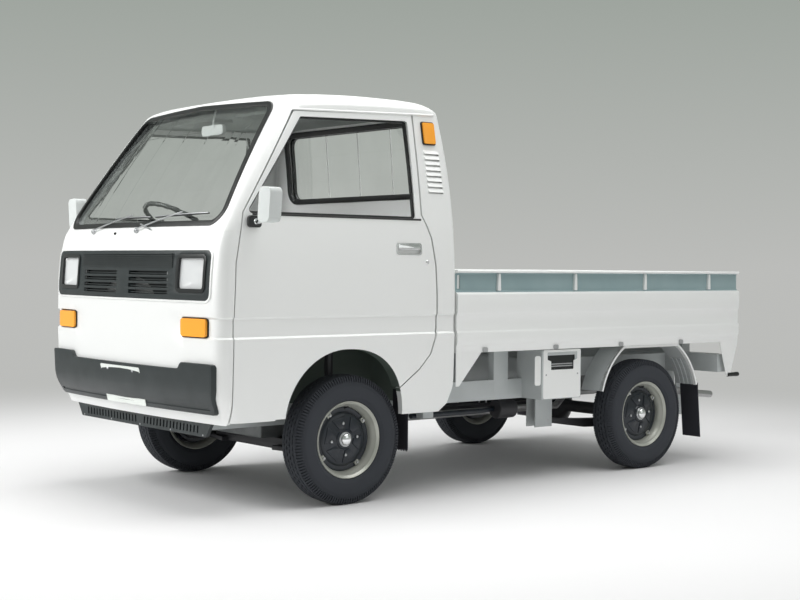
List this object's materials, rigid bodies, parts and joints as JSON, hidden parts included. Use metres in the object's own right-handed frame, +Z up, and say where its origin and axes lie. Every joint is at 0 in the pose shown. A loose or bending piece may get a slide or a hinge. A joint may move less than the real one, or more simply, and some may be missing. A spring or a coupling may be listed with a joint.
{
  "type": "kei truck",
  "caption": "Small cab-over pickup truck with a hollow two-door cab, a fixed-side load bed with a drop tailgate, steered front wheels and a leaf-sprung rear axle.",
  "frame": {"origin": "on the ground below the middle of the vehicle's bounding box", "axes": "+X to the vehicle's left, -Y ahead, +Z up"},
  "size_m": [1.69, 3.199, 1.7164],
  "materials": {
    "white_paint": "gloss white",
    "grille_plastic": "grained charcoal",
    "dashboard_plastic": "grained black",
    "glass": "clear, faint green",
    "lamp_glass": "clear, fluted",
    "amber_lens": "amber lens",
    "red_lens": "red lens",
    "inner_paint": "dark green-grey",
    "seat_vinyl": "dark vinyl",
    "steering_plastic": "black",
    "black_steel": "satin black",
    "engine_metal": "bare",
    "exhaust_steel": "dull",
    "flap_rubber": "matt black",
    "mirror_plastic": "light grey",
    "wheel_steel": "beige grey",
    "tyre_rubber": "matt blue-black"
  },
  "bodies": {
    "body": {"cab_front": "white_paint", "cab_roof": "white_paint", "cab_rear": "white_paint", "rear_window_guard": "white_paint", "frame": "white_paint", "bed_floor": "white_paint", "headboard": "white_paint", "bed_side_left": "white_paint", "bed_side_right": "white_paint", "windscreen": "glass", "rear_window": "glass", "grille": "grille_plastic", "bumper": "grille_plastic", "lower_grille": "grille_plastic", "dashboard": "dashboard_plastic", "headlamp_left": "lamp_glass", "headlamp_right": "lamp_glass", "turn_lamp_left": "amber_lens", "turn_lamp_right": "amber_lens", "side_lamp_left": "amber_lens", "side_lamp_right": "amber_lens", "tail_lamp_left": "red_lens", "tail_lamp_right": "red_lens", "cab_floor": "inner_paint", "seat_left": "seat_vinyl", "seat_right": "seat_vinyl", "seat_back": "seat_vinyl", "steering_wheel": "steering_plastic", "steering_column": "black_steel", "front_suspension": "black_steel", "rear_axle": "black_steel", "leaf_spring_left": "black_steel", "leaf_spring_right": "black_steel", "fuel_tank": "black_steel", "engine": "engine_metal", "exhaust": "exhaust_steel", "front_flap_left": "flap_rubber", "front_flap_right": "flap_rubber", "rear_flap_left": "flap_rubber", "rear_flap_right": "flap_rubber"},
    "door_left": {"door_left": "white_paint", "door_mirror_left": "mirror_plastic"},
    "door_right": {"door_right": "white_paint", "door_mirror_right": "mirror_plastic"},
    "tailgate": {"tailgate": "white_paint"},
    "knuckle_left": {"knuckle_left": "black_steel"},
    "knuckle_right": {"knuckle_right": "black_steel"},
    "wheel_front_left": {"wheel_front_left": "wheel_steel", "tyre_front_left": "tyre_rubber"},
    "wheel_front_right": {"wheel_front_right": "wheel_steel", "tyre_front_right": "tyre_rubber"},
    "wheel_rear_left": {"wheel_rear_left": "wheel_steel", "tyre_rear_left": "tyre_rubber"},
    "wheel_rear_right": {"wheel_rear_right": "wheel_steel", "tyre_rear_right": "tyre_rubber"}
  },
  "joints": [
    {"name": "door_left_hinge", "type": "hinge", "parent": "body", "child": "door_left", "pos_m": [0.6975, -1.4875, 0.85], "axis": [0, 0, -1], "range_deg": [0, 65]},
    {"name": "door_right_hinge", "type": "hinge", "parent": "body", "child": "door_right", "pos_m": [-0.6975, -1.4875, 0.85], "axis": [0, 0, 1], "range_deg": [0, 65]},
    {"name": "tailgate_hinge", "type": "hinge", "parent": "body", "child": "tailgate", "pos_m": [0, 1.5875, 0.606], "axis": [-1, 0, 0], "range_deg": [0, 172]},
    {"name": "steer_left", "type": "hinge", "parent": "body", "child": "knuckle_left", "pos_m": [0.5, -0.897, 0.2662], "axis": [0, 0, 1], "range_deg": [-33, 33]},
    {"name": "steer_right", "type": "hinge", "parent": "body", "child": "knuckle_right", "pos_m": [-0.5, -0.897, 0.2662], "axis": [0, 0, 1], "range_deg": [-33, 33]},
    {"name": "roll_front_left", "type": "hinge", "parent": "knuckle_left", "child": "wheel_front_left", "pos_m": [0.595, -0.897, 0.2662], "axis": [1, 0, 0], "continuous": true},
    {"name": "roll_front_right", "type": "hinge", "parent": "knuckle_right", "child": "wheel_front_right", "pos_m": [-0.595, -0.897, 0.2662], "axis": [1, 0, 0], "continuous": true},
    {"name": "roll_rear_left", "type": "hinge", "parent": "body", "child": "wheel_rear_left", "pos_m": [0.605, 0.91, 0.2662], "axis": [1, 0, 0], "continuous": true},
    {"name": "roll_rear_right", "type": "hinge", "parent": "body", "child": "wheel_rear_right", "pos_m": [-0.605, 0.91, 0.2662], "axis": [1, 0, 0], "continuous": true}
  ],
  "couplings": [
    {"joint": "steer_right", "follows": "steer_left", "ratio": 1}
  ]
}
